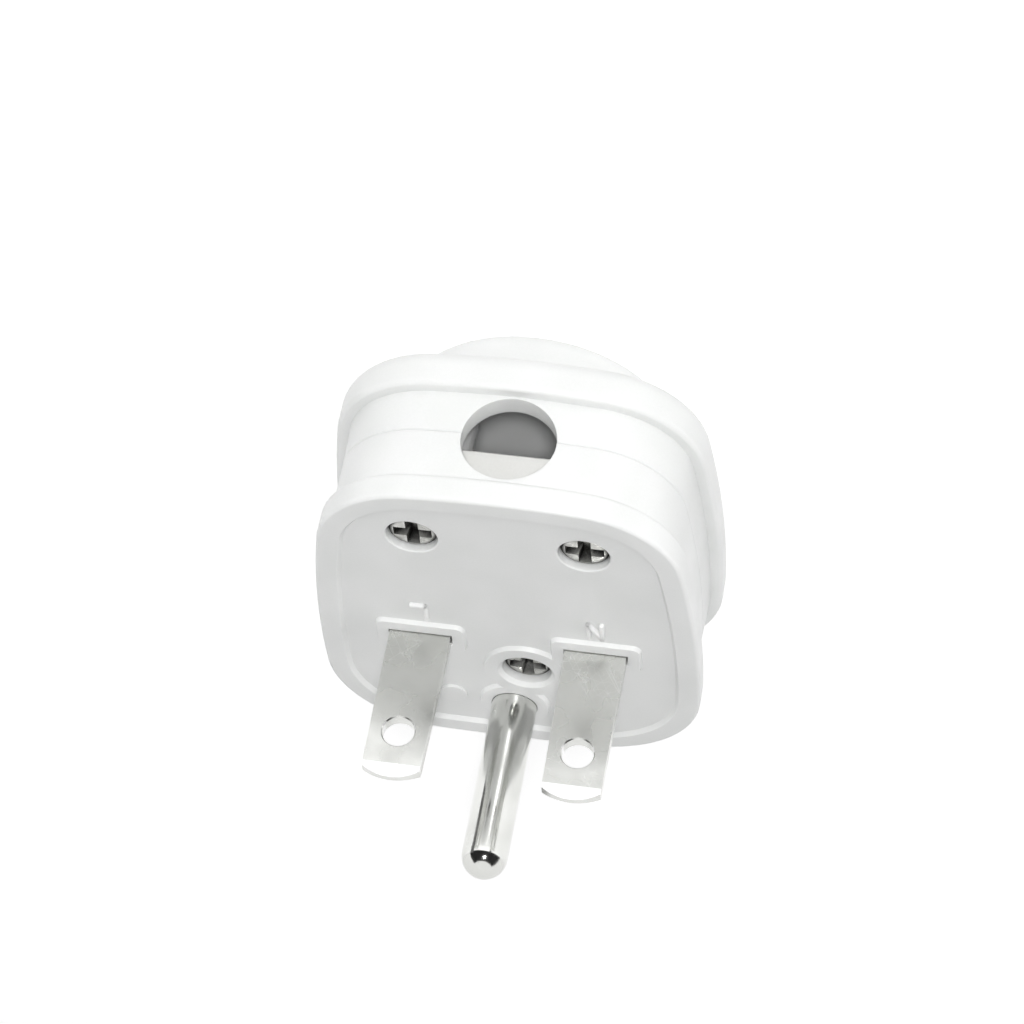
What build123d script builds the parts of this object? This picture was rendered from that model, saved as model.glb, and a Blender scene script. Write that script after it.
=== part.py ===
from build123d import *
import math
import os

# A rewirable mains plug with two flat blades and a round earth pin.
# The pin face looks up and lies on z = 0, and the two blades stand on the line y = 0.
# The cord would enter from +Y, and the plug rests on the flat top of its domed back.
# Sizes are in millimetres. Depths are counted down from the pin face.

# Plan outline of the pin face
face_half_width = 19.85
widest_at_y = -4.4
side_bow_radius = 138.0
cord_edge_y = 26.23
cord_bow_radius = 86.5
earth_edge_y = -19.05
earth_bow_radius = 400.0
cord_corner_radius = 10.8
earth_corner_radius = 12.2

# Housing, seen from the side
flange_depth = 3.0
parting_depth = 8.7
lip_front_depth = 13.2
lip_thickness = 4.7
neck_inset = 0.9
lip_neck_inset = 0.7
lip_overhang = 0.62
wall = 2.0
face_floor = 2.6
roof = 1.9
face_rounding = 0.4
flange_back_rounding = 0.6
lip_front_rounding = 0.5
lip_back_rounding = 2.2
parting_edge_break = 0.15

# Domed back
hump_side_inset = 4.05
hump_cord_inset = 2.33
hump_earth_inset = 2.15
hump_height = 6.0
hump_draft = 16.0
hump_rounding = 2.4
hump_foot_rounding = 0.4

# Sunk panel of the pin face and the raised pads on it
panel_inset = 2.25
panel_depth = 0.45
panel_slope = 40.0
blade_pad_length = 9.5
blade_pad_width = 4.9
blade_pad_corner = 1.0
screw_pad_radius = 4.6
earth_pad_radius = 3.85
pad_slope = 25.0
ejector_mark_x = -6.55
ejector_mark_y = -11.3
ejector_mark_radius = 1.45
ejector_mark_height = 0.3

# Tongue of the cover in the rebate of the base
tongue_thickness = 0.9
tongue_height = 1.2
tongue_clearance = 0.1

# Cord entry
cord_hole_diameter = 9.4
cord_hole_x = 0.2
cord_hole_depth = 8.3
grip_bar_top_depth = 8.4
grip_bar_thickness = 4.1
grip_bar_eye_radius = 3.8
grip_bar_front_half = 5.6
grip_bar_rear_gap = 3.2
grip_bar_wall_gap = 0.3
grip_bar_edge = 0.3

# Blades
blade_spacing = 18.25
blade_width = 6.35
blade_thickness = 1.5
blade_height = 16.65
blade_tip_crown = 0.9
blade_side_taper = 0.2
blade_bevel_height = 1.4
blade_tip_thickness = 0.7
blade_hole_diameter = 3.3
blade_hole_height = 11.6
blade_edge_break = 0.12
blade_bend_radius = 0.6
blade_slot_clearance = 0.15
foot_rise = 1.5
foot_margin = 3.4

# Earth pin and the strap it is riveted to
earth_pin_y = -11.89
earth_pin_diameter = 4.8
earth_pin_height = 20.4
earth_spigot_diameter = 4.2
earth_shoulder_depth = 0.6
earth_bore_clearance = 0.08
rivet_head_diameter = 6.2
rivet_head_height = 0.8
strap_width = 6.2
strap_thickness = 1.5
strap_end_margin = 3.4
strap_corner_radius = 1.0

# Terminals
blade_terminal_y = 5.8
earth_terminal_x = -7.4
terminal_thread = 3.0
terminal_head_diameter = 5.6
terminal_head_height = 2.0
terminal_reach = 0.9
terminal_floor_gap = 0.4
terminal_well_diameter = 4.0
clamp_washer_side = 6.1
clamp_washer_thickness = 0.8
clamp_washer_corner = 0.8
spring_washer_diameter = 5.4
spring_washer_thickness = 0.8
spring_washer_gap = 0.8
thread_clearance = 0.06
washer_clearance = 0.15

# Case screws and the nuts in the cover
side_screw_x = 8.53
side_screw_inset = 8.03
center_screw_x = 1.63
center_screw_y = -4.8
case_thread = 3.0
case_head_diameter = 4.95
case_head_height = 1.9
case_head_seat_depth = 2.9
case_screw_length = 10.2
recess_diameter = 5.2
side_recess_edge_break = 0.12
center_recess_edge_break = 0.42
base_boss_diameter = 7.2
shank_clearance = 0.2
nut_across_flats = 5.5
nut_thickness = 2.4
nut_clearance = 0.06
cover_post_diameter = 8.2
joint_gap = 0.1

# Cross recess and low crown of every screw head
cross_length_share = 0.78
cross_slot_width = 1.3
cross_depth = 1.3
cross_depth_share = 0.8
cross_slope = 15.0
head_crown_height = 0.4
head_crown_width = 0.85

# Ribs that hold the metal parts down
guide_rib_thickness = 1.0
guide_rib_gap = 0.15
keeper_rib_width = 5.2
keeper_rib_thickness = 1.2
keeper_rib_y = 1.5
earth_keeper_diameter = 5.4

# Levels that follow from the sizes above
side_screw_y = cord_edge_y - side_screw_inset
back_depth = lip_front_depth + lip_thickness
full_depth = back_depth + hump_height
hump_half_width = face_half_width - hump_side_inset
hump_cord_y = cord_edge_y - hump_cord_inset
hump_earth_y = earth_edge_y + hump_earth_inset
foot_seat_depth = face_floor + foot_rise
foot_back_depth = foot_seat_depth + blade_thickness
strap_back_depth = face_floor + strap_thickness
rivet_back_depth = strap_back_depth + rivet_head_height
grip_bar_seat_depth = grip_bar_top_depth - grip_bar_thickness
side_post_depth = grip_bar_top_depth + joint_gap
center_boss_depth = parting_depth - joint_gap
inner_inset = neck_inset + wall
blade_x = blade_spacing / 2
big = 4 * (cord_edge_y - earth_edge_y)

side_screw_places = {"left": (-side_screw_x, side_screw_y), "right": (side_screw_x, side_screw_y)}
center_screw_place = (center_screw_x, center_screw_y)


def slab(plan, top_depth, bottom_depth):
    """Extrude a plan sketch downwards between two depths."""
    body = extrude(plan, amount=bottom_depth - top_depth, dir=(0, 0, -1))
    return Pos(0, 0, -top_depth) * body


def disc(x, y, diameter):
    """A round plan sketch at a place."""
    return Pos(x, y) * Circle(diameter / 2)


def funnel(plan_of, top_grow, bottom_grow, top_depth, bottom_depth):
    """A body whose plan grows or shrinks evenly from one depth to another."""
    top = Pos(0, 0, -top_depth) * plan_of(top_grow)
    bottom = Pos(0, 0, -bottom_depth) * plan_of(bottom_grow)
    return loft([top, bottom])


def outline(grow=0.0):
    """The plug's plan: four slightly bowed edges that meet in large rounded corners."""
    side_reach = side_bow_radius - face_half_width
    side = Circle(side_bow_radius + grow)
    plan = Pos(-side_reach, widest_at_y) * Rot(0, 0, 180) * side
    plan &= Pos(side_reach, widest_at_y) * side
    plan &= Pos(0, cord_edge_y - cord_bow_radius) * Circle(cord_bow_radius + grow)
    plan &= Pos(0, earth_edge_y + earth_bow_radius) * Circle(earth_bow_radius + grow)
    plan = fillet(plan.vertices().sort_by(Axis.Y)[-2:], cord_corner_radius + grow)
    return fillet(plan.vertices().sort_by(Axis.Y)[:2], earth_corner_radius + grow)


def hump_plan(grow=0.0):
    """The foot of the domed back: a long round-ended shape."""
    straight = hump_cord_y - hump_earth_y - 2 * hump_half_width
    middle = (hump_cord_y + hump_earth_y) / 2
    shape = SlotCenterToCenter(straight, 2 * (hump_half_width + grow), rotation=90)
    return Pos(0, middle) * shape


def cord_bore():
    """The round cord hole through the wall, shared by base and cover."""
    inner_y = cord_edge_y - inner_inset - grip_bar_wall_gap
    length = cord_edge_y + lip_overhang - inner_y
    place = Pos(cord_hole_x, inner_y + length / 2, -cord_hole_depth) * Rot(90, 0, 0)
    return place * Cylinder(cord_hole_diameter / 2, length)


def make_base():
    """The shell that carries the pins: flange, neck, sunk panel with pads, bosses and ribs."""
    flange = slab(outline(), 0, flange_depth)
    flange = fillet(flange.faces().sort_by(Axis.Z)[0].edges(), flange_back_rounding)
    flange = fillet(flange.faces().sort_by(Axis.Z)[-1].edges(), face_rounding)
    neck = slab(outline(-neck_inset), flange_depth, parting_depth)
    base = flange + chamfer(neck.faces().sort_by(Axis.Z)[0].edges(), parting_edge_break)

    base -= slab(outline(-inner_inset), face_floor, parting_depth)
    rebate = outline(-neck_inset - wall + tongue_thickness + tongue_clearance)
    base -= slab(rebate, parting_depth - tongue_height - tongue_clearance, parting_depth)
    panel_floor_inset = panel_inset + panel_depth * math.tan(math.radians(panel_slope))
    base -= funnel(outline, -panel_inset, -panel_floor_inset, 0, panel_depth)
    base -= cord_bore()

    base += face_pads()
    base += Pos(ejector_mark_x, ejector_mark_y, ejector_mark_height / 2 - panel_depth) * Cylinder(
        ejector_mark_radius, ejector_mark_height
    )
    for x in (-blade_x, blade_x):
        base += blade_seat(x)
        slot = Rectangle(
            blade_width + 2 * blade_slot_clearance, blade_thickness + 2 * blade_slot_clearance
        )
        base -= Pos(x, 0) * slab(slot, 0, face_floor)
        base -= slab(disc(x, blade_terminal_y, terminal_well_diameter), face_floor, foot_seat_depth)

    for x, y in side_screw_places.values():
        base = add_screw_boss(base, x, y, grip_bar_seat_depth, panel_depth, side_recess_edge_break)
    base = add_screw_boss(base, *center_screw_place, center_boss_depth, 0, center_recess_edge_break)
    bore = earth_spigot_diameter / 2 + earth_bore_clearance
    base -= slab(disc(0, earth_pin_y, 2 * bore), 0, face_floor)
    shoulder_seat = Cone(bore, earth_pin_diameter / 2 + earth_bore_clearance, earth_shoulder_depth)
    return base - Pos(0, earth_pin_y, -earth_shoulder_depth / 2) * shoulder_seat


def face_pads():
    """The pads raised from the sunk panel: one at each blade, one at the middle screw, one at the pin."""
    blade_pad = RectangleRounded(blade_pad_length, blade_pad_width, blade_pad_corner)
    plans = [Pos(x, 0) * blade_pad for x in (-blade_x, blade_x)]
    plans.append(disc(*center_screw_place, 2 * screw_pad_radius))
    plans.append(disc(0, earth_pin_y, 2 * earth_pad_radius))
    pads = Part()
    for plan in plans:
        pads += Pos(0, 0, -panel_depth) * extrude(plan, amount=panel_depth, taper=pad_slope)
    return pads


def blade_seat(x):
    """The ledge under a blade's foot, with a guide rib on each side of the foot."""
    start = blade_thickness / 2 + blade_bend_radius
    end = blade_terminal_y + foot_margin
    middle = (start + end) / 2
    ledge = Pos(x, middle) * Rectangle(blade_width, end - start)
    seat = slab(ledge, face_floor, foot_seat_depth)
    rib_x = blade_width / 2 + guide_rib_gap + guide_rib_thickness / 2
    for side in (-1, 1):
        rib = Pos(x + side * rib_x, middle) * Rectangle(guide_rib_thickness, end - start)
        seat += slab(rib, face_floor, foot_back_depth)
    return seat


def add_screw_boss(base, x, y, depth, mouth_depth, edge_break):
    """A boss on the floor with a sunk seat for a screw head, its flared mouth and the shank hole."""
    base += slab(disc(x, y, base_boss_diameter), face_floor, depth)
    base -= slab(disc(x, y, recess_diameter), 0, case_head_seat_depth)
    base -= slab(disc(x, y, case_thread + 2 * shank_clearance), case_head_seat_depth, depth)
    flare = Cone(recess_diameter / 2, recess_diameter / 2 + edge_break, edge_break)
    return base - Pos(x, y, -mouth_depth - edge_break / 2) * flare


def make_cover():
    """The shell that closes the plug: neck, finger lip, domed back, posts for the nuts and ribs."""
    lip = slab(outline(lip_overhang), lip_front_depth, back_depth)
    lip = fillet(lip.faces().sort_by(Axis.Z)[0].edges(), lip_back_rounding)
    lip = fillet(lip.faces().sort_by(Axis.Z)[-1].edges(), lip_front_rounding)
    drawn_in = hump_height * math.tan(math.radians(hump_draft))
    hump = funnel(hump_plan, 0, -drawn_in, back_depth, full_depth)
    hump = fillet(hump.faces().sort_by(Axis.Z)[0].edges(), hump_rounding)
    back = lip + hump
    ring = back.faces().filter_by(Axis.Z).filter_by_position(Axis.Z, -back_depth, -back_depth)[0]
    back = fillet(ring.inner_wires().edges(), hump_foot_rounding)
    neck = funnel(outline, -neck_inset, -lip_neck_inset, parting_depth, lip_front_depth)
    outside = back + chamfer(neck.faces().sort_by(Axis.Z)[-1].edges(), parting_edge_break)

    hollow = slab(outline(-inner_inset), parting_depth, back_depth - roof)
    hollow += funnel(hump_plan, -wall, -wall - drawn_in, back_depth - roof, full_depth - roof)
    tongue = outline(-inner_inset + tongue_thickness) - outline(-inner_inset)
    cover = outside - hollow + slab(tongue, parting_depth - tongue_height, parting_depth)

    room = outside + slab(outline(-inner_inset), face_floor, parting_depth)
    inside = Part()
    for x, y in side_screw_places.values():
        inside += slab(disc(x, y, cover_post_diameter), side_post_depth, full_depth)
    inside += slab(disc(*center_screw_place, cover_post_diameter), parting_depth, full_depth)
    for x in (-blade_x, blade_x):
        rib = Pos(x, keeper_rib_y) * Rectangle(keeper_rib_width, keeper_rib_thickness)
        inside += slab(rib, foot_back_depth + joint_gap, full_depth)
    keeper = disc(0, earth_pin_y, earth_keeper_diameter)
    inside += slab(keeper, rivet_back_depth + joint_gap, full_depth)
    cover += inside & room

    for x, y in side_screw_places.values():
        cover -= nut_pocket(x, y, side_post_depth)
    cover -= nut_pocket(*center_screw_place, parting_depth)
    return cover - cord_bore()


def nut_pocket(x, y, depth):
    """The six-sided pocket for a nut in a post's end, with room for the screw's end behind it."""
    pocket = Pos(x, y) * hexagon(nut_across_flats + 2 * nut_clearance)
    floor_depth = depth + nut_thickness + joint_gap
    screw_end = case_head_seat_depth + case_screw_length + joint_gap
    shank = disc(x, y, case_thread + 2 * shank_clearance)
    return slab(pocket, depth, floor_depth) + slab(shank, floor_depth, screw_end)


def hexagon(across_flats):
    """A six-sided plan with its flats this far apart."""
    return RegularPolygon(across_flats / 2, 6, major_radius=False)


def make_blade(x):
    """A flat blade with a crowned and bevelled tip, bent at its root into a foot."""
    half = blade_thickness / 2
    foot_end = blade_terminal_y + foot_margin
    side_view = Polygon(
        (half, -foot_seat_depth),
        (half, blade_height - blade_bevel_height),
        (blade_tip_thickness / 2, blade_height),
        (-blade_tip_thickness / 2, blade_height),
        (-half, blade_height - blade_bevel_height),
        (-half, -foot_back_depth),
        (foot_end, -foot_back_depth),
        (foot_end, -foot_seat_depth),
        align=None,
    )
    corners = side_view.vertices()
    inner = corners.sort_by_distance((half, -foot_seat_depth))[0]
    side_view = fillet(inner, blade_bend_radius)
    outer = side_view.vertices().sort_by_distance((-half, -foot_back_depth))[0]
    side_view = fillet(outer, blade_bend_radius + blade_thickness)
    strip = extrude(Plane.YZ * side_view, amount=blade_width, both=True)

    edge = blade_width / 2
    tip_edge = edge - blade_side_taper
    shoulder = blade_height - blade_tip_crown
    sides = Polyline(
        (-tip_edge, shoulder),
        (-edge, 0),
        (-edge, -big),
        (edge, -big),
        (edge, 0),
        (tip_edge, shoulder),
    )
    crown = ThreePointArc((tip_edge, shoulder), (0, blade_height), (-tip_edge, shoulder))
    front_view = make_face(sides + crown)
    blade = strip & extrude(Plane.XZ * front_view, amount=big, both=True)
    blade -= Pos(0, 0, blade_hole_height) * Rot(90, 0, 0) * Cylinder(blade_hole_diameter / 2, big)
    rims = blade.edges().filter_by(GeomType.CIRCLE).filter_by(
        lambda e: abs(e.radius - blade_hole_diameter / 2) < 1e-6 and e.center().Z > 0
    )
    blade = chamfer(rims, blade_edge_break)
    tapped = terminal_thread + 2 * thread_clearance
    blade -= slab(disc(0, blade_terminal_y, tapped), foot_seat_depth, foot_back_depth)
    return Pos(x, 0, 0) * blade


def make_earth_pin():
    """The round earth pin: domed tip, sloped shoulder in its pad, and a spigot riveted to the strap."""
    radius = earth_pin_diameter / 2
    spigot = earth_spigot_diameter / 2
    head = rivet_head_diameter / 2
    tip_start = earth_pin_height - radius
    dome_side = (radius * math.sin(math.pi / 4), tip_start + radius * math.cos(math.pi / 4))
    half_section = make_face(
        Polyline(
            (0, earth_pin_height),
            (0, -rivet_back_depth),
            (head, -rivet_back_depth),
            (head, -strap_back_depth),
            (spigot, -strap_back_depth),
            (spigot, -earth_shoulder_depth),
            (radius, 0),
            (radius, tip_start),
        )
        + ThreePointArc((radius, tip_start), dome_side, (0, earth_pin_height))
    )
    pin = revolve(Plane.XZ * half_section, Axis.Z)
    return Pos(0, earth_pin_y, 0) * pin


def make_earth_strap():
    """The flat strap inside the base that joins the earth pin to its terminal."""
    right = strap_width / 2
    left = earth_terminal_x - strap_end_margin
    plan = Pos((left + right) / 2, earth_pin_y) * Rectangle(right - left, strap_width)
    plan = fillet(plan.vertices(), strap_corner_radius)
    plan -= disc(0, earth_pin_y, earth_spigot_diameter + 2 * earth_bore_clearance)
    plan -= disc(earth_terminal_x, earth_pin_y, terminal_thread + 2 * thread_clearance)
    return slab(plan, face_floor, strap_back_depth)


def screw_head(diameter, height):
    """A pan head with a cross recess: the seat lies on z = 0 and the top looks up."""
    radius = diameter / 2
    flat = radius - head_crown_width
    side = height - head_crown_height
    crown = EllipticalCenterArc((flat, side), head_crown_width, head_crown_height, arc_size=90)
    straight = Polyline((flat, height), (0, height), (0, 0), (radius, 0), (radius, side))
    head = revolve(Plane.XZ * make_face(straight + crown), Axis.Z)
    length = diameter * cross_length_share
    cross = Rectangle(length, cross_slot_width) + Rectangle(cross_slot_width, length)
    depth = min(cross_depth, cross_depth_share * height)
    tool = extrude(cross, amount=-depth, taper=cross_slope)
    return head - Pos(0, 0, height) * tool


def make_screw(head_diameter, head_height, thread, shank_length):
    """A screw standing on its point: the head's seat lies on z = 0 and the shank goes down."""
    shank = Pos(0, 0, -shank_length / 2) * Cylinder(thread / 2, shank_length)
    return screw_head(head_diameter, head_height) + shank


def make_clamp_washer(x, y, seat_depth):
    """The square plate that presses a conductor on its terminal."""
    plan = RectangleRounded(clamp_washer_side, clamp_washer_side, clamp_washer_corner)
    plan -= Circle(terminal_thread / 2 + washer_clearance)
    return slab(Pos(x, y) * plan, seat_depth, seat_depth + clamp_washer_thickness)


def make_spring_washer(x, y, seat_depth):
    """The split ring between the clamp plate and the screw's head."""
    plan = Circle(spring_washer_diameter / 2) - Circle(terminal_thread / 2 + washer_clearance)
    plan -= Pos(spring_washer_diameter / 2, 0) * Rectangle(spring_washer_diameter, spring_washer_gap)
    return slab(Pos(x, y) * plan, seat_depth, seat_depth + spring_washer_thickness)


def make_terminal_screw(x, y, head_seat_depth, tip_depth):
    """A terminal screw, driven from the open side of the base, that stops short of the floor."""
    length = head_seat_depth - tip_depth
    screw = make_screw(terminal_head_diameter, terminal_head_height, terminal_thread, length)
    return Pos(x, y, -head_seat_depth) * Rot(180, 0, 0) * screw


def make_case_screw(x, y):
    """A case screw, driven from the pin face into the nut in the cover."""
    screw = make_screw(case_head_diameter, case_head_height, case_thread, case_screw_length)
    return Pos(x, y, -case_head_seat_depth) * screw


def make_case_nut(x, y, post_depth):
    """A nut at the bottom of its pocket in a post of the cover."""
    plan = hexagon(nut_across_flats) - Circle(case_thread / 2 + thread_clearance)
    top = post_depth + joint_gap
    return slab(Pos(x, y) * plan, top, top + nut_thickness)


def make_grip_bar():
    """The bar behind the cord hole that the two screws beside it hold: a block with an eye at each end."""
    front = cord_edge_y - inner_inset - grip_bar_wall_gap
    front -= cord_bow_radius - math.sqrt(cord_bow_radius**2 - grip_bar_front_half**2)
    rear = side_screw_y - grip_bar_rear_gap
    plan = Pos(0, (front + rear) / 2) * Rectangle(2 * grip_bar_front_half, front - rear)
    for x, y in side_screw_places.values():
        plan += disc(x, y, 2 * grip_bar_eye_radius)
    for x, y in side_screw_places.values():
        plan -= disc(x, y, case_thread + 2 * shank_clearance)
    bar = slab(plan, grip_bar_seat_depth, grip_bar_top_depth)
    ends = bar.faces().filter_by(Axis.Z)
    return chamfer([edge for end in ends for edge in end.outer_wire().edges()], grip_bar_edge)


def make_all():
    """Every piece of the plug, by name."""
    parts = {"base": make_base(), "cover": make_cover()}
    parts["line_blade"] = make_blade(-blade_x)
    parts["neutral_blade"] = make_blade(blade_x)
    parts["earth_pin"] = make_earth_pin()
    parts["earth_strap"] = make_earth_strap()
    parts["cord_grip_bar"] = make_grip_bar()

    blade_tip_depth = foot_seat_depth - terminal_reach
    terminals = {
        "line": (-blade_x, blade_terminal_y, blade_tip_depth, foot_back_depth),
        "neutral": (blade_x, blade_terminal_y, blade_tip_depth, foot_back_depth),
        "earth": (earth_terminal_x, earth_pin_y, face_floor + terminal_floor_gap, strap_back_depth),
    }
    for name, (x, y, tip_depth, seat_depth) in terminals.items():
        spring_depth = seat_depth + clamp_washer_thickness
        head_depth = spring_depth + spring_washer_thickness
        parts[name + "_clamp_washer"] = make_clamp_washer(x, y, seat_depth)
        parts[name + "_spring_washer"] = make_spring_washer(x, y, spring_depth)
        parts[name + "_terminal_screw"] = make_terminal_screw(x, y, head_depth, tip_depth)

    for side, (x, y) in side_screw_places.items():
        parts[side + "_case_screw"] = make_case_screw(x, y)
        parts[side + "_case_nut"] = make_case_nut(x, y, side_post_depth)
    parts["center_case_screw"] = make_case_screw(*center_screw_place)
    parts["center_case_nut"] = make_case_nut(*center_screw_place, parting_depth)
    return parts


os.makedirs("parts", exist_ok=True)
for name, part in make_all().items():
    export_step(part, f"parts/{name}.step")
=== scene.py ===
import math

import bmesh
import bpy
from bpy.props import FloatProperty, FloatVectorProperty, PointerProperty
from mathutils import Matrix, Vector


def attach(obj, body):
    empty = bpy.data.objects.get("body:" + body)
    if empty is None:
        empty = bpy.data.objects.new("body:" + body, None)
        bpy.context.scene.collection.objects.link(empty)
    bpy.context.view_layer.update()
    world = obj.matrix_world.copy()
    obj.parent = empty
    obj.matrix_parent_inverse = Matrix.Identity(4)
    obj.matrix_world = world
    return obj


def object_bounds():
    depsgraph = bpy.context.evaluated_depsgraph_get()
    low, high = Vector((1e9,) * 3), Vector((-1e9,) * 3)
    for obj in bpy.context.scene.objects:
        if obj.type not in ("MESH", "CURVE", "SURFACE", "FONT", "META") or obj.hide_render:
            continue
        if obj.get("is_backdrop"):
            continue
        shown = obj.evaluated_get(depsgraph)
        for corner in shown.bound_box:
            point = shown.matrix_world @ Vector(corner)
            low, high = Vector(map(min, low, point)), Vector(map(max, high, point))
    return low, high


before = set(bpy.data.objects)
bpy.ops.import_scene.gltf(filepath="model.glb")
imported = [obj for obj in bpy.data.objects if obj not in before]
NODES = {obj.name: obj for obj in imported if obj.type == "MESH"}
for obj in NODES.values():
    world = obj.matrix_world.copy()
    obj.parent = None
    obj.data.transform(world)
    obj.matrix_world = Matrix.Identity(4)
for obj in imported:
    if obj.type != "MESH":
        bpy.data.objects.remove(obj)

bl_info = {
    "name": "Grounded plug",
    "version": (1, 0, 0),
    "blender": (4, 5, 0),
    "location": "View3D > Sidebar > Plug",
    "description": "Finishes, polarity marks and studio for a rewirable grounded plug",
    "category": "Object",
}

# A white rewirable plug with two flat blades and a round earth pin.
# Every length is in metres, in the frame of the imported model: the pin face is at Z 0 and the pins
# point along +Z. The camera hangs upside down, so that the picture shows the pins pointing down.

MM = 0.001
ROOT = "root"
PIN_Y = -11.89 * MM

# Sockets of a Mix node that mixes colours
MIX_MASK, MIX_FIRST, MIX_SECOND, MIX_RESULT = 0, 6, 7, 2

# The skin that the shells and the raised marks share
SHELL_SKIN = {"roughness": 0.34, "grain_depth": 0.0035 * MM}

# What dust with painted corner shade, and edge wear with a painted edge highlight, do to plastic: the share
# of the mix, the gain on the colour, the step of roughness
PLASTIC_DUST_AND_SHADE_MIX, PLASTIC_DUST_AND_SHADE_TONE, PLASTIC_DUST_ROUGHNESS = 0.16, 0.6, 0.12
PLASTIC_WEAR_AND_HIGHLIGHT_MIX, PLASTIC_WEAR_AND_HIGHLIGHT_TONE, PLASTIC_WEAR_ROUGHNESS = 0.35, 1.08, -0.06

# What edges (wear with a painted highlight), scratches, smudges and painted corner shade do to metal
METAL_EDGE_MIX, METAL_BRIGHT_TONE = 0.55, 1.35
METAL_SCRATCH_ROUGHNESS, METAL_SCRATCH_DEPTH = 0.15, 0.003 * MM
METAL_SMUDGE_ROUGHNESS = 0.14
METAL_PAINTED_SHADE_TONE, METAL_SHADE_ROUGHNESS = 0.06, 0.25

# The ground bevels at the tips of the blades, whose brighter colour is a painted highlight
BEVEL_SLOPES = {"low_slope": 0.16, "high_slope": 0.40}
BEVEL_HIGHLIGHT_TONE, BEVEL_ROUGHNESS = 1.4, 0.5

# The turns of the three directions in which metal is scratched, in radians
SCRATCH_TURNS = ((0.0, 0.55, 0.0), (0.3, -0.85, 0.2), (-0.2, 1.25, 0.5))

# Raised marks: the piece's name, its letter, the X of its right side and the Y of its top
MARKS = (
    ("line_mark", "L", -8.0 * MM, 5.95 * MM),
    ("neutral_mark", "N", 10.15 * MM, 6.1 * MM),
)
PANEL_LEVEL = -0.45 * MM
MARK_SINK = 0.02 * MM

# The strokes of a letter, each from one point to another, as shares of its width and height
LETTER_STROKES = {
    "L": (((0, 1), (0, 0)), ((0, 0), (1, 0))),
    "N": (((0, 0), (0, 1)), ((0, 1), (1, 0)), ((1, 0), (1, 1))),
}
STROKE_SEGMENTS, STROKE_RINGS = 24, 12
# The power that turns a half-round stroke into one with a flatter top and steeper sides
EDGE_POWER = 0.4
# A vertex closer than this to a plane counts as lying in it
HAIR = 1e-6

# Lamps: name, place, width, height and power in watts. Reflections show the key lamp alone.
KEY_LAMP = "Key lamp"
LAMPS = (
    (KEY_LAMP, (0.088, 0.528, 0.318), 0.08, 0.08, 2.15),
    ("Front lamp", (0.02, 0.61, 0.12), 0.40, 0.14, 0.40),
    ("Right lamp", (0.58, 0.10, 0.08), 0.36, 0.40, 0.78),
    ("Left lamp", (-0.58, 0.12, 0.08), 0.36, 0.40, 0.58),
)
LAMP_TARGET = (0, 0, -0.005)

# Dark screens: name, radius about the earth pin, azimuths, height of the top, tone
ROOM_SCREEN = ("Room screen", 0.45, (-70, 88), 0.55, 0.02)
STRIPS = (
    ("Left strip", 0.055, (-66, -50), 0.022, 0.25),
    ("Right strip", 0.055, (27, 36), 0.022, 0.25),
)
SCREEN_STEPS = 12

FLOOR_REACH = 4.0
FLOOR_GLOW = 0.50
FLOOR_SHADE = 0.99

# The camera as fitted to the photograph
CAMERA_PLACE = (0.04047, 0.24676, 0.14415)
CAMERA_TARGET = (0.001983, 0.025358, 0.0)
CAMERA_UP = (-0.10937, 0.55563, -0.82421)
CAMERA_NEAR = 0.01


# Settings

class HousingSettings(bpy.types.PropertyGroup):
    """Looks of the moulded plastic."""

    shell_color: FloatVectorProperty(
        name="Shell colour", description="Colour of the base and the cover",
        subtype="COLOR", size=3, min=0, max=1, default=(0.83, 0.835, 0.83),
    )
    # The raised marks are the shell plastic; their brighter colour is a painted highlight for the light
    # that their rounded strokes catch.
    mark_highlight_color: FloatVectorProperty(
        name="Mark colour", description="Colour of the raised marks, kept clean and bright by handling",
        subtype="COLOR", size=3, min=0, max=1, default=(0.97, 0.97, 0.96),
    )
    shell_shade: FloatVectorProperty(
        name="Shell shade", description="Second colour of the faint mottling in the shells",
        subtype="COLOR", size=3, min=0, max=1, default=(0.79, 0.80, 0.79),
    )
    bar_color: FloatVectorProperty(
        name="Grip bar colour", description="Colour of the cord grip bar",
        subtype="COLOR", size=3, min=0, max=1, default=(0.72, 0.72, 0.70),
    )
    bar_shade: FloatVectorProperty(
        name="Grip bar shade", description="Second colour of the faint mottling in the bar",
        subtype="COLOR", size=3, min=0, max=1, default=(0.67, 0.67, 0.65),
    )
    grain_size: FloatProperty(
        name="Grain size", description="Width of one grain of the moulded skin",
        unit="LENGTH", min=0.00005, default=0.00022,
    )


class ContactSettings(bpy.types.PropertyGroup):
    """Looks of the metal pieces."""

    plating_color: FloatVectorProperty(
        name="Plating colour", description="Colour of the nickel plating on blades and pin",
        subtype="COLOR", size=3, min=0, max=1, default=(0.78, 0.785, 0.76),
    )
    plating_shade: FloatVectorProperty(
        name="Plating shade", description="Colour of the handled, duller patches of plating",
        subtype="COLOR", size=3, min=0, max=1, default=(0.68, 0.685, 0.66),
    )
    brass_color: FloatVectorProperty(
        name="Brass colour", description="Colour of the bare stamped brass inside",
        subtype="COLOR", size=3, min=0, max=1, default=(0.72, 0.50, 0.20),
    )
    brass_shade: FloatVectorProperty(
        name="Brass shade", description="Colour of the tarnished patches of brass",
        subtype="COLOR", size=3, min=0, max=1, default=(0.45, 0.29, 0.11),
    )
    zinc_color: FloatVectorProperty(
        name="Zinc colour", description="Colour of the zinc plated screws, nuts and spring washers",
        subtype="COLOR", size=3, min=0, max=1, default=(0.66, 0.66, 0.64),
    )
    zinc_shade: FloatVectorProperty(
        name="Zinc shade", description="Colour of the dull spots in the zinc plating",
        subtype="COLOR", size=3, min=0, max=1, default=(0.34, 0.34, 0.32),
    )
    scratch_spacing: FloatProperty(
        name="Scratch spacing", description="Distance between the fine rubbing marks across a blade",
        unit="LENGTH", min=0.00005, default=0.0004,
    )


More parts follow.
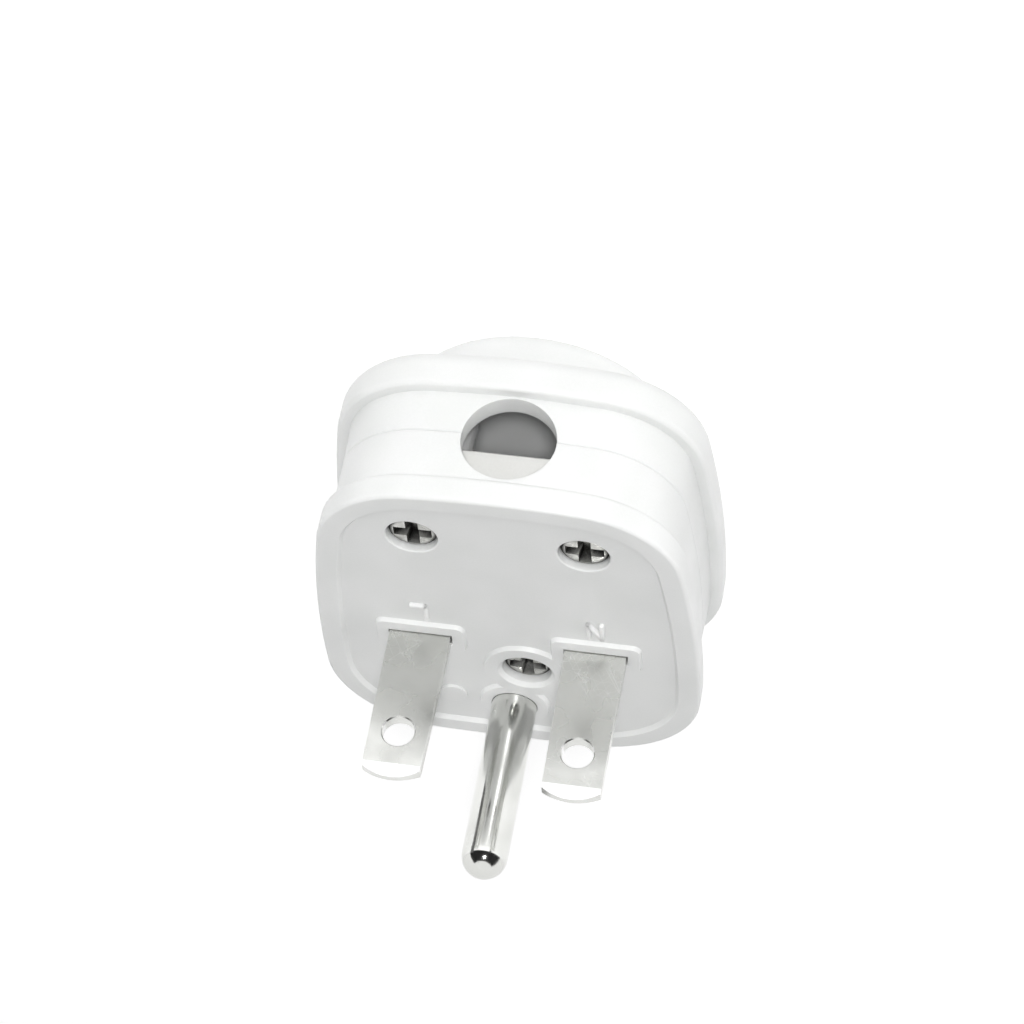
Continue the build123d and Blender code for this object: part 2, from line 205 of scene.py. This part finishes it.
class MarkSettings(bpy.types.PropertyGroup):
    """Sizes of the raised polarity marks beside the blades."""

    height: FloatProperty(
        name="Letter height", description="Height of a raised letter",
        unit="LENGTH", min=0.0005, default=0.0029,
    )
    width: FloatProperty(
        name="Letter width", description="Width of a raised letter",
        unit="LENGTH", min=0.0005, default=0.0019,
    )
    stroke: FloatProperty(
        name="Stroke width", description="Width of a letter's stroke",
        unit="LENGTH", min=0.0001, default=0.00052,
    )
    rise: FloatProperty(
        name="Rise", description="Height of the letters over the sunk panel",
        unit="LENGTH", min=0.00005, default=0.00045,
    )


class StudioSettings(bpy.types.PropertyGroup):
    """Colours and strengths of the stage and its lamps."""

    floor_color: FloatVectorProperty(
        name="Floor colour", description="Colour of the floor",
        subtype="COLOR", size=3, min=0, max=1, default=(0.86, 0.86, 0.86),
    )
    lens: FloatProperty(
        name="Lens", description="Focal length of the camera in millimetres on a 36 mm frame",
        min=10, default=98.88,
    )
    sky: FloatProperty(
        name="Sky", description="Strength of the even light from all around",
        min=0, default=0.38,
    )


# Node helpers

def add_node(tree, kind, **settings):
    """Add a shader node and set its own settings and the values of its unlinked inputs."""
    node = tree.nodes.new(kind)
    inputs = settings.pop("inputs", {})
    for name, value in settings.items():
        setattr(node, name, value)
    for name, value in inputs.items():
        node.inputs[name].default_value = value
    return node


def link(tree, source, target):
    """Join an output socket to an input socket."""
    tree.links.new(source, target)


def start_group(name, inputs, outputs):
    """Begin a shader node group with number inputs and named outputs."""
    tree = bpy.data.node_groups.new(name, "ShaderNodeTree")
    for label, default in inputs.items():
        socket = tree.interface.new_socket(name=label, in_out="INPUT", socket_type="NodeSocketFloat")
        socket.default_value = default
    for label in outputs:
        tree.interface.new_socket(name=label, in_out="OUTPUT", socket_type="NodeSocketFloat")
    return tree, tree.nodes.new("NodeGroupInput"), tree.nodes.new("NodeGroupOutput")


def place_group(tree, name, **values):
    """Put a shared effect into a material with its own values."""
    node = tree.nodes.new("ShaderNodeGroup")
    node.node_tree = bpy.data.node_groups[name]
    for label, value in values.items():
        node.inputs[label.replace("_", " ").capitalize()].default_value = value
    return node


def math_node(tree, operation, first, second=None, third=None, clamp=False):
    """A math node: each argument is a socket or a number. Gives the result's socket."""
    node = add_node(tree, "ShaderNodeMath", operation=operation, use_clamp=clamp)
    for place, value in enumerate((first, second, third)):
        if value is None:
            continue
        if isinstance(value, bpy.types.NodeSocket):
            link(tree, value, node.inputs[place])
        else:
            node.inputs[place].default_value = value
    return node.outputs[0]


def spread(tree, value, low, high, new_low, new_high):
    """Map a mask's range to another, clamped. Gives the result's socket."""
    node = add_node(
        tree, "ShaderNodeMapRange",
        inputs={"From Min": low, "From Max": high, "To Min": new_low, "To Max": new_high},
    )
    link(tree, value, node.inputs["Value"])
    return node.outputs["Result"]


def stretched_place(tree, size_socket, stretch=(1, 1, 1), turn=(0, 0, 0)):
    """The point on the object divided by a feature size, turned and then stretched."""
    where = add_node(tree, "ShaderNodeTexCoord")
    turned = add_node(
        tree, "ShaderNodeMapping", vector_type="TEXTURE",
        inputs={"Rotation": turn, "Scale": [1 / share for share in stretch]},
    )
    link(tree, where.outputs["Object"], turned.inputs["Vector"])
    scale = math_node(tree, "DIVIDE", 1.0, size_socket)
    scaled = add_node(tree, "ShaderNodeVectorMath", operation="SCALE")
    link(tree, turned.outputs["Vector"], scaled.inputs["Vector"])
    link(tree, scale, scaled.inputs["Scale"])
    return scaled.outputs["Vector"]


def noise(tree, vector, detail=2.0, roughness=0.5):
    """A noise pattern one unit across. Gives its value socket."""
    node = add_node(
        tree, "ShaderNodeTexNoise", inputs={"Scale": 1.0, "Detail": detail, "Roughness": roughness}
    )
    link(tree, vector, node.inputs["Vector"])
    return node.outputs["Fac"]


# Shared effects

def build_moulded_skin():
    """Fine grain of a moulded surface with the slow waves of shrinkage under it."""
    tree, given, made = start_group(
        "Moulded skin", {"Grain size": 0.0002, "Wave size": 0.006}, ["Height", "Mottle"]
    )
    grain = noise(tree, stretched_place(tree, given.outputs["Grain size"]), detail=3.0)
    wave = noise(tree, stretched_place(tree, given.outputs["Wave size"]), detail=1.0)
    link(tree, math_node(tree, "MULTIPLY_ADD", wave, 1.5, grain), made.inputs["Height"])
    patches = math_node(tree, "MULTIPLY_ADD", grain, 0.35, math_node(tree, "MULTIPLY", wave, 0.65))
    link(tree, spread(tree, patches, 0.35, 0.65, 0.0, 1.0), made.inputs["Mottle"])


def build_edge_wear():
    """Mask that is bright along sharp edges, broken up so that it looks handled. It marks both worn edges
    and painted edge highlights.
    """
    tree, given, made = start_group(
        "Edge wear and highlight", {"Width": 0.0002, "Break size": 0.0012}, ["Mask"]
    )
    rounded = add_node(tree, "ShaderNodeBevel", samples=6)
    link(tree, given.outputs["Width"], rounded.inputs["Radius"])
    surface = add_node(tree, "ShaderNodeNewGeometry")
    compare = add_node(tree, "ShaderNodeVectorMath", operation="DOT_PRODUCT")
    link(tree, rounded.outputs["Normal"], compare.inputs[0])
    link(tree, surface.outputs["Normal"], compare.inputs[1])
    edge = spread(tree, compare.outputs["Value"], 0.99, 0.9, 0.0, 1.0)
    broken = noise(tree, stretched_place(tree, given.outputs["Break size"]), detail=4.0)
    kept = spread(tree, broken, 0.38, 0.58, 0.0, 1.0)
    link(tree, math_node(tree, "MULTIPLY", edge, kept), made.inputs["Mask"])


def build_settled_dust():
    """Mask that is bright in corners and recesses, where dust settles and shade falls. It places both dust
    and painted corner shade.
    """
    tree, given, made = start_group(
        "Settled dust and shade", {"Reach": 0.0015, "Cloud size": 0.002}, ["Mask"]
    )
    corner = add_node(tree, "ShaderNodeAmbientOcclusion", samples=8)
    link(tree, given.outputs["Reach"], corner.inputs["Distance"])
    hidden = spread(tree, corner.outputs["AO"], 0.85, 0.35, 0.0, 1.0)
    cloud = noise(tree, stretched_place(tree, given.outputs["Cloud size"]), detail=4.0)
    patchiness = spread(tree, cloud, 0.3, 0.7, 0.4, 1.0)
    link(tree, math_node(tree, "MULTIPLY", hidden, patchiness), made.inputs["Mask"])


def build_rubbing_marks():
    """Thin scratches in three directions, and their height."""
    tree, given, made = start_group(
        "Rubbing marks", {"Spacing": 0.0004, "Length": 10.0, "Amount": 0.5}, ["Mask", "Height"]
    )
    total = None
    for turn in SCRATCH_TURNS:
        place = stretched_place(tree, given.outputs["Spacing"], stretch=(1, 1, 0.02), turn=turn)
        lines = noise(tree, place, detail=0.0)
        thin = math_node(tree, "ABSOLUTE", math_node(tree, "SUBTRACT", lines, 0.5))
        line = spread(tree, thin, 0.0, 0.010, 1.0, 0.0)
        total = line if total is None else math_node(tree, "MAXIMUM", total, line)
    patch_size = math_node(tree, "MULTIPLY", given.outputs["Spacing"], given.outputs["Length"])
    patch = noise(tree, stretched_place(tree, patch_size), detail=2.0)
    kept = spread(tree, patch, 0.48, 0.62, 0.0, 1.0)
    shown = math_node(tree, "MULTIPLY", math_node(tree, "MULTIPLY", total, kept), given.outputs["Amount"])
    link(tree, shown, made.inputs["Mask"])
    link(tree, math_node(tree, "SUBTRACT", 1.0, shown), made.inputs["Height"])


def build_handling_smudges():
    """Soft patches left by fingers and rinsing."""
    tree, given, made = start_group(
        "Handling smudges", {"Patch size": 0.004, "Ripple size": 0.0012}, ["Mask", "Ripple"]
    )
    patch = noise(tree, stretched_place(tree, given.outputs["Patch size"]), detail=2.0, roughness=0.4)
    link(tree, spread(tree, patch, 0.34, 0.70, 0.0, 1.0), made.inputs["Mask"])
    place = stretched_place(tree, given.outputs["Ripple size"], stretch=(1, 1, 0.12))
    link(tree, noise(tree, place, detail=2.0), made.inputs["Ripple"])


def build_ground_bevel():
    """Mask of the faces whose slope along the blade lies between two values, as a bevel's does."""
    tree, given, made = start_group(
        "Ground bevel", {"Low slope": 0.16, "High slope": 0.40}, ["Mask"]
    )
    surface = add_node(tree, "ShaderNodeTexCoord")
    parts = add_node(tree, "ShaderNodeSeparateXYZ")
    link(tree, surface.outputs["Normal"], parts.inputs["Vector"])
    steep = math_node(tree, "GREATER_THAN", parts.outputs["Z"], given.outputs["Low slope"])
    flat = math_node(tree, "LESS_THAN", parts.outputs["Z"], given.outputs["High slope"])
    link(tree, math_node(tree, "MULTIPLY", steep, flat), made.inputs["Mask"])


def build_shared_effects():
    """Build each shared effect once."""
    build_moulded_skin()
    build_edge_wear()
    build_settled_dust()
    build_rubbing_marks()
    build_handling_smudges()
    build_ground_bevel()


# Materials

def start_material(name, metallic=0.0, **values):
    """An empty material with its surface shader. Plain values are set on the shader itself."""
    material = bpy.data.materials.new(name)
    material.use_nodes = True
    tree = material.node_tree
    shader = tree.nodes["Principled BSDF"]
    shader.inputs["Metallic"].default_value = metallic
    for label, value in values.items():
        shader.inputs[label.replace("_", " ")].default_value = value
    return material, tree, shader


def mix_color(tree, mask, first, second):
    """Mix two colours by a mask: each is a colour or a socket. Gives the result's socket."""
    node = add_node(tree, "ShaderNodeMix", data_type="RGBA", clamp_factor=True)
    link(tree, mask, node.inputs[MIX_MASK])
    for place, value in ((MIX_FIRST, first), (MIX_SECOND, second)):
        if isinstance(value, bpy.types.NodeSocket):
            link(tree, value, node.inputs[place])
        else:
            node.inputs[place].default_value = (*value, 1.0)
    return node.outputs[MIX_RESULT]


def toned(color, gain):
    """A colour times a gain, with no channel over one."""
    return [min(1.0, gain * channel) for channel in color]


def bump(tree, height, depth, before=None):
    """A bump node whose height of one is this deep. Gives its normal socket."""
    node = add_node(tree, "ShaderNodeBump", inputs={"Strength": 1.0, "Distance": depth})
    link(tree, height, node.inputs["Height"])
    if before is not None:
        link(tree, before, node.inputs["Normal"])
    return node.outputs["Normal"]


def moulded_plastic(name, color, shade, grain_size, roughness, grain_depth):
    """White moulded plastic: faint mottling, fine skin, worn edges with a painted highlight, and a little
    dust in corners with painted shade.
    """
    material, tree, shader = start_material(
        name, IOR=1.49, Subsurface_Weight=0.35, Subsurface_Scale=1.0 * MM
    )
    shader.inputs["Subsurface Radius"].default_value = (1.0, 1.0, 0.95)
    skin = place_group(tree, "Moulded skin", grain_size=grain_size, wave_size=30 * grain_size)
    wear_and_highlight = place_group(tree, "Edge wear and highlight", width=0.25 * MM, break_size=1.1 * MM)
    dust_and_shade = place_group(tree, "Settled dust and shade", reach=1.2 * MM, cloud_size=1.6 * MM)
    base = mix_color(tree, skin.outputs["Mottle"], color, shade)
    # Darker in corners and recesses: settled dust together with painted shade.
    dust_and_shade_share = math_node(tree, "MULTIPLY", dust_and_shade.outputs["Mask"], PLASTIC_DUST_AND_SHADE_MIX)
    dusty_and_shaded = mix_color(tree, dust_and_shade_share, base, toned(shade, PLASTIC_DUST_AND_SHADE_TONE))
    # Lighter along sharp edges: wear together with a painted edge highlight.
    wear_and_highlight_share = math_node(tree, "MULTIPLY", wear_and_highlight.outputs["Mask"], PLASTIC_WEAR_AND_HIGHLIGHT_MIX)
    worn_and_highlit = mix_color(tree, wear_and_highlight_share, dusty_and_shaded, toned(color, PLASTIC_WEAR_AND_HIGHLIGHT_TONE))
    link(tree, worn_and_highlit, shader.inputs["Base Color"])
    rough = spread(tree, skin.outputs["Mottle"], 0.0, 1.0, roughness - 0.03, roughness + 0.05)
    rough = math_node(tree, "MULTIPLY_ADD", wear_and_highlight.outputs["Mask"], PLASTIC_WEAR_ROUGHNESS, rough)
    rough = math_node(
        tree, "MULTIPLY_ADD", dust_and_shade.outputs["Mask"], PLASTIC_DUST_ROUGHNESS, rough, clamp=True
    )
    link(tree, rough, shader.inputs["Roughness"])
    link(tree, bump(tree, skin.outputs["Height"], grain_depth), shader.inputs["Normal"])
    return material


def worked_metal(name, color, shade, marks, roughness, smudge_size, ripple_depth, painted_shade):
    """Metal with rubbing marks, handled patches, drawn ripples, edges brightened by wear and a painted
    highlight, and painted shade in its corners.
    """
    material, tree, shader = start_material(name, metallic=1.0)
    scratches = place_group(tree, "Rubbing marks", **marks)
    smudges = place_group(tree, "Handling smudges", patch_size=smudge_size, ripple_size=0.3 * smudge_size)
    wear_and_highlight = place_group(tree, "Edge wear and highlight", width=0.15 * MM, break_size=0.9 * MM)
    handled = mix_color(tree, smudges.outputs["Mask"], color, shade)
    bright = toned(color, METAL_BRIGHT_TONE)
    # Brighter edges: wear together with a painted edge highlight.
    edge_share = math_node(tree, "MULTIPLY", wear_and_highlight.outputs["Mask"], METAL_EDGE_MIX)
    worn_and_highlit = mix_color(tree, edge_share, handled, bright)
    scratched = mix_color(tree, scratches.outputs["Mask"], worn_and_highlit, bright)
    corner = place_group(tree, "Settled dust and shade", reach=1.5 * MM, cloud_size=1.4 * MM)
    # Painted shade: the colour turns near black, and rougher, where the corner mask is high, in recesses
    # such as the cross slots of the screw heads.
    painted_shade_share = math_node(tree, "MULTIPLY", corner.outputs["Mask"], painted_shade)
    shaded = mix_color(tree, painted_shade_share, scratched, toned(shade, METAL_PAINTED_SHADE_TONE))
    link(tree, shaded, shader.inputs["Base Color"])
    dulled = roughness + METAL_SMUDGE_ROUGHNESS
    rough = spread(tree, smudges.outputs["Mask"], 0.0, 1.0, roughness, dulled)
    rough = math_node(tree, "MULTIPLY_ADD", painted_shade_share, METAL_SHADE_ROUGHNESS, rough)
    rough = math_node(
        tree, "MULTIPLY_ADD", scratches.outputs["Mask"], METAL_SCRATCH_ROUGHNESS, rough, clamp=True
    )
    link(tree, rough, shader.inputs["Roughness"])
    rippled = bump(tree, smudges.outputs["Ripple"], ripple_depth)
    marked = bump(tree, scratches.outputs["Height"], METAL_SCRATCH_DEPTH, before=rippled)
    link(tree, marked, shader.inputs["Normal"])
    return material


def blade_metal(name, look):
    """Plated blade metal whose ground tip bevels are duller than the flats and brighter by a painted
    highlight.
    """
    material = worked_metal(
        name, look.plating_color, look.plating_shade,
        {"spacing": 2.5 * look.scratch_spacing, "length": 5.0, "amount": 0.5},
        roughness=0.20, smudge_size=3.0 * MM, ripple_depth=0.0005 * MM, painted_shade=0.0,
    )
    tree = material.node_tree
    shader = tree.nodes["Principled BSDF"]
    ground = place_group(tree, "Ground bevel", **BEVEL_SLOPES)
    before = shader.inputs["Base Color"].links[0].from_socket
    # The bevels' brighter colour is a painted highlight; their higher roughness is their own ground finish.
    bright = mix_color(tree, ground.outputs["Mask"], before, toned(look.plating_color, BEVEL_HIGHLIGHT_TONE))
    link(tree, bright, shader.inputs["Base Color"])
    before = shader.inputs["Roughness"].links[0].from_socket
    rise = math_node(tree, "SUBTRACT", BEVEL_ROUGHNESS, before)
    dull = math_node(tree, "MULTIPLY_ADD", ground.outputs["Mask"], rise, before)
    link(tree, dull, shader.inputs["Roughness"])
    return material


def dress(names, material):
    """Give CAD pieces their material. Their shape and place stay as they are."""
    for name in names:
        slots = NODES[name].data.materials
        slots.clear()
        slots.append(material)


def mark_material():
    """The plastic of the raised marks, made once: the shell plastic, made brighter by a painted highlight.
    """
    name = "Raised mark plastic"
    if name in bpy.data.materials:
        return bpy.data.materials[name]
    look = bpy.context.scene.plug_housing
    return moulded_plastic(name, look.mark_highlight_color, look.shell_color, look.grain_size, **SHELL_SKIN)


def zinc_steel():
    """The material of all steel pieces, made once."""
    name = "Zinc plated steel"
    if name in bpy.data.materials:
        return bpy.data.materials[name]
    look = bpy.context.scene.plug_contacts
    # The steel carries the most painted shade, which darkens its recesses, chiefly the cross in each screw
    # head.
    return worked_metal(
        name, look.zinc_color, look.zinc_shade,
        {"spacing": 0.7 * look.scratch_spacing, "length": 5.0, "amount": 0.35},
        roughness=0.24, smudge_size=1.3 * MM, ripple_depth=0.004 * MM, painted_shade=1.8,
    )


# Pieces

class PLUG_OT_housing(bpy.types.Operator):
    """Finish the base and the cover in white moulded plastic"""

    bl_idname = "plug.housing"
    bl_label = "Housing"

    def execute(self, context):
        look = context.scene.plug_housing
        material = moulded_plastic(
            "White shell plastic", look.shell_color, look.shell_shade, look.grain_size, **SHELL_SKIN
        )
        dress(["base", "cover"], material)
        return {"FINISHED"}


class PLUG_OT_grip_bar(bpy.types.Operator):
    """Finish the cord grip bar in a duller plastic than the shells"""

    bl_idname = "plug.grip_bar"
    bl_label = "Cord grip bar"

    def execute(self, context):
        look = context.scene.plug_housing
        material = moulded_plastic(
            "Grip bar plastic", look.bar_color, look.bar_shade, 1.4 * look.grain_size,
            roughness=0.46, grain_depth=0.006 * MM,
        )
        dress(["cord_grip_bar"], material)
        return {"FINISHED"}


class PLUG_OT_contacts(bpy.types.Operator):
    """Finish the two blades and the earth pin in rubbed nickel plating"""

    bl_idname = "plug.contacts"
    bl_label = "Blades and earth pin"

    def execute(self, context):
        look = context.scene.plug_contacts
        dress(["line_blade", "neutral_blade"], blade_metal("Plated blade", look))
        pin = worked_metal(
            "Plated pin", look.plating_color, look.plating_shade,
            {"spacing": look.scratch_spacing, "length": 7.0, "amount": 0.4},
            roughness=0.08, smudge_size=5.0 * MM, ripple_depth=0.02 * MM, painted_shade=0.0,
        )
        dress(["earth_pin"], pin)
        return {"FINISHED"}


class PLUG_OT_terminals(bpy.types.Operator):
    """Finish the earth strap, the clamp plates and the terminal screws"""

    bl_idname = "plug.terminals"
    bl_label = "Terminals"

    def execute(self, context):
        look = context.scene.plug_contacts
        # The brass carries a little painted shade in its corners.
        brass = worked_metal(
            "Stamped brass", look.brass_color, look.brass_shade,
            {"spacing": 1.2 * look.scratch_spacing, "length": 6.0, "amount": 0.4},
            roughness=0.26, smudge_size=2.6 * MM, ripple_depth=0.003 * MM, painted_shade=0.4,
        )
        clamps = [f"{side}_clamp_washer" for side in ("line", "neutral", "earth")]
        dress(["earth_strap", *clamps], brass)
        steel = zinc_steel()
        for side in ("line", "neutral", "earth"):
            dress([f"{side}_spring_washer", f"{side}_terminal_screw"], steel)
        return {"FINISHED"}


class PLUG_OT_case_fasteners(bpy.types.Operator):
    """Finish the three case screws and their nuts"""

    bl_idname = "plug.case_fasteners"
    bl_label = "Case screws and nuts"

    def execute(self, context):
        steel = zinc_steel()
        for side in ("left", "right", "center"):
            dress([f"{side}_case_screw", f"{side}_case_nut"], steel)
        return {"FINISHED"}


def raised_letter(name, letter, corner, settings):
    """A letter of strokes with round ends and soft edges, turned half round to read from the cord side."""
    half = settings.stroke / 2
    reach = Matrix.Diagonal((settings.width - settings.stroke, settings.height - settings.stroke)).to_4x4()
    mesh = bpy.data.meshes.new(name)
    form = bmesh.new()
    for ends in LETTER_STROKES[letter]:
        start, end = (reach @ Vector((*point, 0)) + Vector((half, half, 0)) for point in ends)
        run = end - start
        ball = bmesh.ops.create_uvsphere(
            form, u_segments=STROKE_SEGMENTS, v_segments=STROKE_RINGS, radius=1
        )
        verts = ball["verts"]
        bmesh.ops.delete(form, geom=[vert for vert in verts if vert.co.z < -HAIR], context="VERTS")
        verts = [vert for vert in verts if vert.is_valid]
        for vert in verts:
            shift = run.length if vert.co.x > HAIR else 0
            lift = settings.rise * max(vert.co.z, 0) ** EDGE_POWER
            vert.co = (vert.co.x * half + shift, vert.co.y * half, lift)
        turn = Matrix.Rotation(math.atan2(run.y, run.x), 4, "Z")
        bmesh.ops.transform(form, matrix=Matrix.Translation(start) @ turn, verts=verts)
    form.transform(Matrix.Translation(corner) @ Matrix.Rotation(math.pi, 4, "Z"))
    form.to_mesh(mesh)
    form.free()
    for polygon in mesh.polygons:
        polygon.use_smooth = True
    mesh.materials.append(mark_material())
    piece = bpy.data.objects.new(name, mesh)
    bpy.context.scene.collection.objects.link(piece)
    return piece


class PLUG_OT_polarity_marks(bpy.types.Operator):
    """Add the raised letters that mark the line and the neutral blade"""

    bl_idname = "plug.polarity_marks"
    bl_label = "Polarity marks"

    def execute(self, context):
        settings = context.scene.plug_marks
        for name, letter, right_x, top_y in MARKS:
            corner = Vector((right_x, top_y, PANEL_LEVEL - MARK_SINK))
            piece = raised_letter(name, letter, corner, settings)
            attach(piece, ROOT)
        return {"FINISHED"}


# Stage

def aim(obj, place, target, up=(0, 0, 1)):
    """Put a camera or lamp at a place, looking at a target, with this direction upwards."""
    forward = (Vector(target) - Vector(place)).normalized()
    side = forward.cross(Vector(up)).normalized()
    above = side.cross(forward)
    turn = Matrix((side, above, -forward)).transposed().to_4x4()
    obj.matrix_world = Matrix.Translation(place) @ turn


def add_lamp(name, place, width, height, power):
    """A soft oval lamp. Metal mirrors the key lamp, and the pale surroundings in place of the others."""
    data = bpy.data.lights.new(name, "AREA")
    data.shape = "ELLIPSE"
    data.size = width
    data.size_y = height
    data.energy = power
    lamp = bpy.data.objects.new(name, data)
    bpy.context.scene.collection.objects.link(lamp)
    aim(lamp, place, LAMP_TARGET)
    lamp.visible_glossy = name == KEY_LAMP


def add_dark_screen(name, radius, azimuths, top, tone, bottom):
    """A curved screen of a dark tone that only reflections show. Azimuths are degrees from +Y to +X."""
    mesh = bpy.data.meshes.new(name)
    form = bmesh.new()
    columns = []
    for step in range(SCREEN_STEPS + 1):
        turn = math.radians(azimuths[0] + (azimuths[1] - azimuths[0]) * step / SCREEN_STEPS)
        x, y = radius * math.sin(turn), PIN_Y + radius * math.cos(turn)
        columns.append([form.verts.new((x, y, z)) for z in (bottom, top)])
    for left, right in zip(columns, columns[1:]):
        form.faces.new((left[0], right[0], right[1], left[1]))
    form.to_mesh(mesh)
    form.free()
    material, _, _ = start_material(name, Base_Color=(tone, tone, tone, 1.0), Roughness=1.0)
    mesh.materials.append(material)
    card = bpy.data.objects.new(name, mesh)
    bpy.context.scene.collection.objects.link(card)
    card.visible_camera = card.visible_diffuse = card.visible_shadow = card.visible_transmission = False
    card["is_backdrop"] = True


def set_world(strength):
    """Even pale light that the camera and reflections see as plain white."""
    world = bpy.data.worlds.new("Studio")
    bpy.context.scene.world = world
    world.use_nodes = True
    tree = world.node_tree
    background = tree.nodes["Background"]
    background.inputs["Color"].default_value = (1, 1, 1, 1)
    rays = add_node(tree, "ShaderNodeLightPath")
    seen = math_node(tree, "MAXIMUM", rays.outputs["Is Camera Ray"], rays.outputs["Is Glossy Ray"])
    seen = math_node(tree, "MAXIMUM", seen, rays.outputs["Is Transmission Ray"])
    link(tree, spread(tree, seen, 0.0, 1.0, strength, 1.0), background.inputs["Strength"])


def floor_material(color):
    """A pale floor that the camera sees almost white, with the soft shadow left on it."""
    material, tree, shader = start_material("Floor", Roughness=0.9)
    place = add_node(tree, "ShaderNodeTexCoord")
    grain = add_node(tree, "ShaderNodeTexNoise", inputs={"Scale": 60.0, "Detail": 3.0})
    link(tree, place.outputs["Object"], grain.inputs["Vector"])
    mottled = mix_color(tree, grain.outputs["Fac"], color, toned(color, FLOOR_SHADE))
    link(tree, mottled, shader.inputs["Base Color"])
    rays = add_node(tree, "ShaderNodeLightPath")
    seen = math_node(tree, "MAXIMUM", rays.outputs["Is Camera Ray"], rays.outputs["Is Glossy Ray"])
    shader.inputs["Emission Color"].default_value = (1, 1, 1, 1)
    link(tree, math_node(tree, "MULTIPLY", seen, FLOOR_GLOW), shader.inputs["Emission Strength"])
    return material


class PLUG_OT_stage(bpy.types.Operator):
    """Set the pale floor, the soft lamps, the world and the camera"""

    bl_idname = "plug.stage"
    bl_label = "Stage and camera"

    def execute(self, context):
        look = context.scene.plug_studio
        low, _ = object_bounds()
        mesh = bpy.data.meshes.new("floor")
        form = bmesh.new()
        bmesh.ops.create_grid(form, x_segments=1, y_segments=1, size=FLOOR_REACH)
        form.transform(Matrix.Translation((0, 0, low.z)))
        form.to_mesh(mesh)
        form.free()
        mesh.materials.append(floor_material(look.floor_color))
        floor = bpy.data.objects.new("floor", mesh)
        context.scene.collection.objects.link(floor)
        floor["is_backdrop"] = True

        for lamp in LAMPS:
            add_lamp(*lamp)
        add_dark_screen(*ROOM_SCREEN, bottom=0.0)
        for strip in STRIPS:
            add_dark_screen(*strip, bottom=low.z)
        set_world(look.sky)

        camera_data = bpy.data.cameras.new("Camera")
        camera_data.lens = look.lens
        camera_data.clip_start = CAMERA_NEAR
        camera = bpy.data.objects.new("Camera", camera_data)
        context.scene.collection.objects.link(camera)
        aim(camera, CAMERA_PLACE, CAMERA_TARGET, up=CAMERA_UP)
        context.scene.camera = camera
        context.scene.view_settings.view_transform = "Standard"
        return {"FINISHED"}


class PLUG_PT_sidebar(bpy.types.Panel):
    """Lists the plug's settings and steps."""

    bl_idname = "PLUG_PT_sidebar"
    bl_label = "Grounded plug"
    bl_space_type = "VIEW_3D"
    bl_region_type = "UI"
    bl_category = "Plug"

    def draw(self, context):
        for settings in SETTINGS:
            box = self.layout.box()
            holder = getattr(context.scene, settings)
            for label in holder.bl_rna.properties.keys():
                if label not in ("rna_type", "name"):
                    box.prop(holder, label)
        for step in STEPS:
            self.layout.operator(step.bl_idname)


SETTINGS = {
    "plug_housing": HousingSettings,
    "plug_contacts": ContactSettings,
    "plug_marks": MarkSettings,
    "plug_studio": StudioSettings,
}
STEPS = (
    PLUG_OT_housing,
    PLUG_OT_grip_bar,
    PLUG_OT_contacts,
    PLUG_OT_terminals,
    PLUG_OT_case_fasteners,
    PLUG_OT_polarity_marks,
    PLUG_OT_stage,
)


def register():
    for holder in (*SETTINGS.values(), *STEPS, PLUG_PT_sidebar):
        bpy.utils.register_class(holder)
    for name, holder in SETTINGS.items():
        setattr(bpy.types.Scene, name, PointerProperty(type=holder))


def unregister():
    for name in SETTINGS:
        delattr(bpy.types.Scene, name)
    for holder in reversed((*SETTINGS.values(), *STEPS, PLUG_PT_sidebar)):
        bpy.utils.unregister_class(holder)


def main():
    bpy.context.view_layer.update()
    register()
    build_shared_effects()
    bpy.ops.plug.housing()
    bpy.ops.plug.grip_bar()
    bpy.ops.plug.contacts()
    bpy.ops.plug.terminals()
    bpy.ops.plug.case_fasteners()
    bpy.ops.plug.polarity_marks()
    bpy.ops.plug.stage()


if __name__ == "__main__":
    main()
